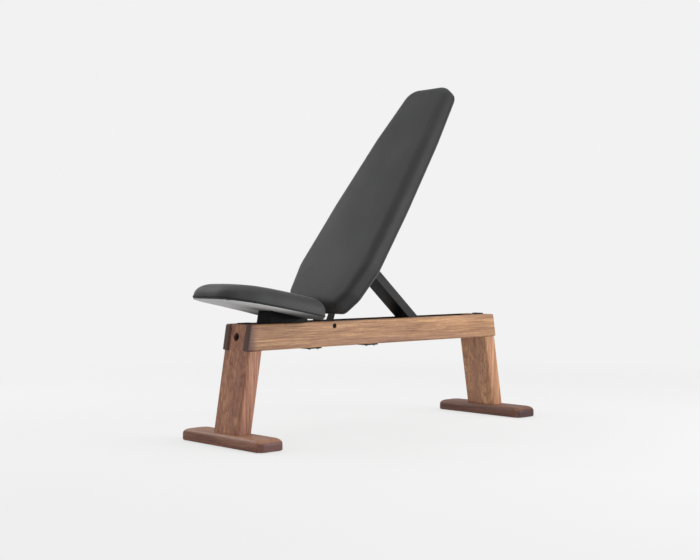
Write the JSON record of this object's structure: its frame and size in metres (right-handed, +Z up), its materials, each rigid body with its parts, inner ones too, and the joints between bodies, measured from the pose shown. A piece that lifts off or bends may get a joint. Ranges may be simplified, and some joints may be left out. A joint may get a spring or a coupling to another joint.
{
  "type": "adjustable weight bench",
  "caption": "Wooden trestle bench with a tilting padded seat and a long padded backrest, propped by a steel strut that catches in toothed tracks between the two rails.",
  "frame": {"origin": "floor level, under the middle of the bench's overall box", "axes": "+Z up, X across the bench, -Y towards the seat's nose, +Y towards the rear foot and the raised head end"},
  "size_m": [0.414, 1.3526, 1.1977],
  "materials": {
    "walnut_rail": "oiled satin walnut, grain along the rail",
    "walnut_leg": "oiled satin walnut, upright grain",
    "walnut_foot": "oiled satin dark walnut",
    "leather": "fine grained charcoal leather, soft sheen",
    "underside_lining": "light grey lining stretched over a board",
    "black_steel": "fine textured black powder coat",
    "fastener_steel": "zinc plated, satin",
    "rubber": "matt moulded rubber",
    "nylon": "matt black nylon"
  },
  "bodies": {
    "frame": {"backrest_axle": "fastener_steel", "front_bumper": "rubber", "front_cross_plate": "black_steel", "front_cross_screw_left_front": "fastener_steel", "front_cross_screw_left_rear": "fastener_steel", "front_cross_screw_right_front": "fastener_steel", "front_cross_screw_right_rear": "fastener_steel", "front_foot": "walnut_foot", "front_left_foot_bolt": "fastener_steel", "front_left_glide": "rubber", "front_leg": "walnut_leg", "front_leg_bolt": "fastener_steel", "front_right_foot_bolt": "fastener_steel", "front_right_glide": "rubber", "front_tie_block": "walnut_foot", "left_axle_bush": "nylon", "left_axle_cap": "black_steel", "left_rail": "walnut_rail", "left_track_plate": "black_steel", "rear_bumper": "rubber", "rear_cross_plate": "black_steel", "rear_cross_screw_left_front": "fastener_steel", "rear_cross_screw_left_rear": "fastener_steel", "rear_cross_screw_right_front": "fastener_steel", "rear_cross_screw_right_rear": "fastener_steel", "rear_foot": "walnut_foot", "rear_left_foot_bolt": "fastener_steel", "rear_left_glide": "rubber", "rear_leg": "walnut_leg", "rear_leg_bolt": "fastener_steel", "rear_right_foot_bolt": "fastener_steel", "rear_right_glide": "rubber", "rear_tie_block": "walnut_foot", "right_axle_bush": "nylon", "right_axle_cap": "black_steel", "right_rail": "walnut_rail", "right_track_plate": "black_steel", "seat_hinge_pin": "fastener_steel", "seat_stop_pin": "fastener_steel"},
    "backrest": {"backrest_board": "underside_lining", "backrest_bracket_screw_1": "fastener_steel", "backrest_bracket_screw_2": "fastener_steel", "backrest_bracket_screw_3": "fastener_steel", "backrest_bracket_screw_4": "fastener_steel", "backrest_cushion": "leather", "backrest_hinge_bracket": "black_steel", "strut_hinge_bracket": "black_steel", "strut_bracket_screw_1": "fastener_steel", "strut_bracket_screw_2": "fastener_steel", "strut_hinge_pin": "fastener_steel"},
    "strut": {"strut": "black_steel", "strut_foot_bar": "fastener_steel"},
    "seat": {"seat_board": "underside_lining", "seat_carrier": "black_steel", "seat_carrier_screw_1": "fastener_steel", "seat_carrier_screw_2": "fastener_steel", "seat_cushion": "leather"}
  },
  "joints": [
    {"name": "backrest_tilt", "type": "hinge", "parent": "frame", "child": "backrest", "pos_m": [0, -0.19982, 0.3632], "axis": [1, 0, 0], "range_deg": [-53.87, 25]},
    {"name": "strut_swing", "type": "hinge", "parent": "backrest", "child": "strut", "pos_m": [0, -0.0402, 0.58864], "axis": [1, 0, 0], "range_deg": [-40.3, 86.8]},
    {"name": "seat_tilt", "type": "hinge", "parent": "frame", "child": "seat", "pos_m": [0, -0.28682, 0.362], "axis": [-1, 0, 0], "range_deg": [-11.3, 8.7]}
  ],
  "couplings": [
    {"joint": "strut_swing", "follows": "backrest_tilt", "ratio": -1.61}
  ]
}
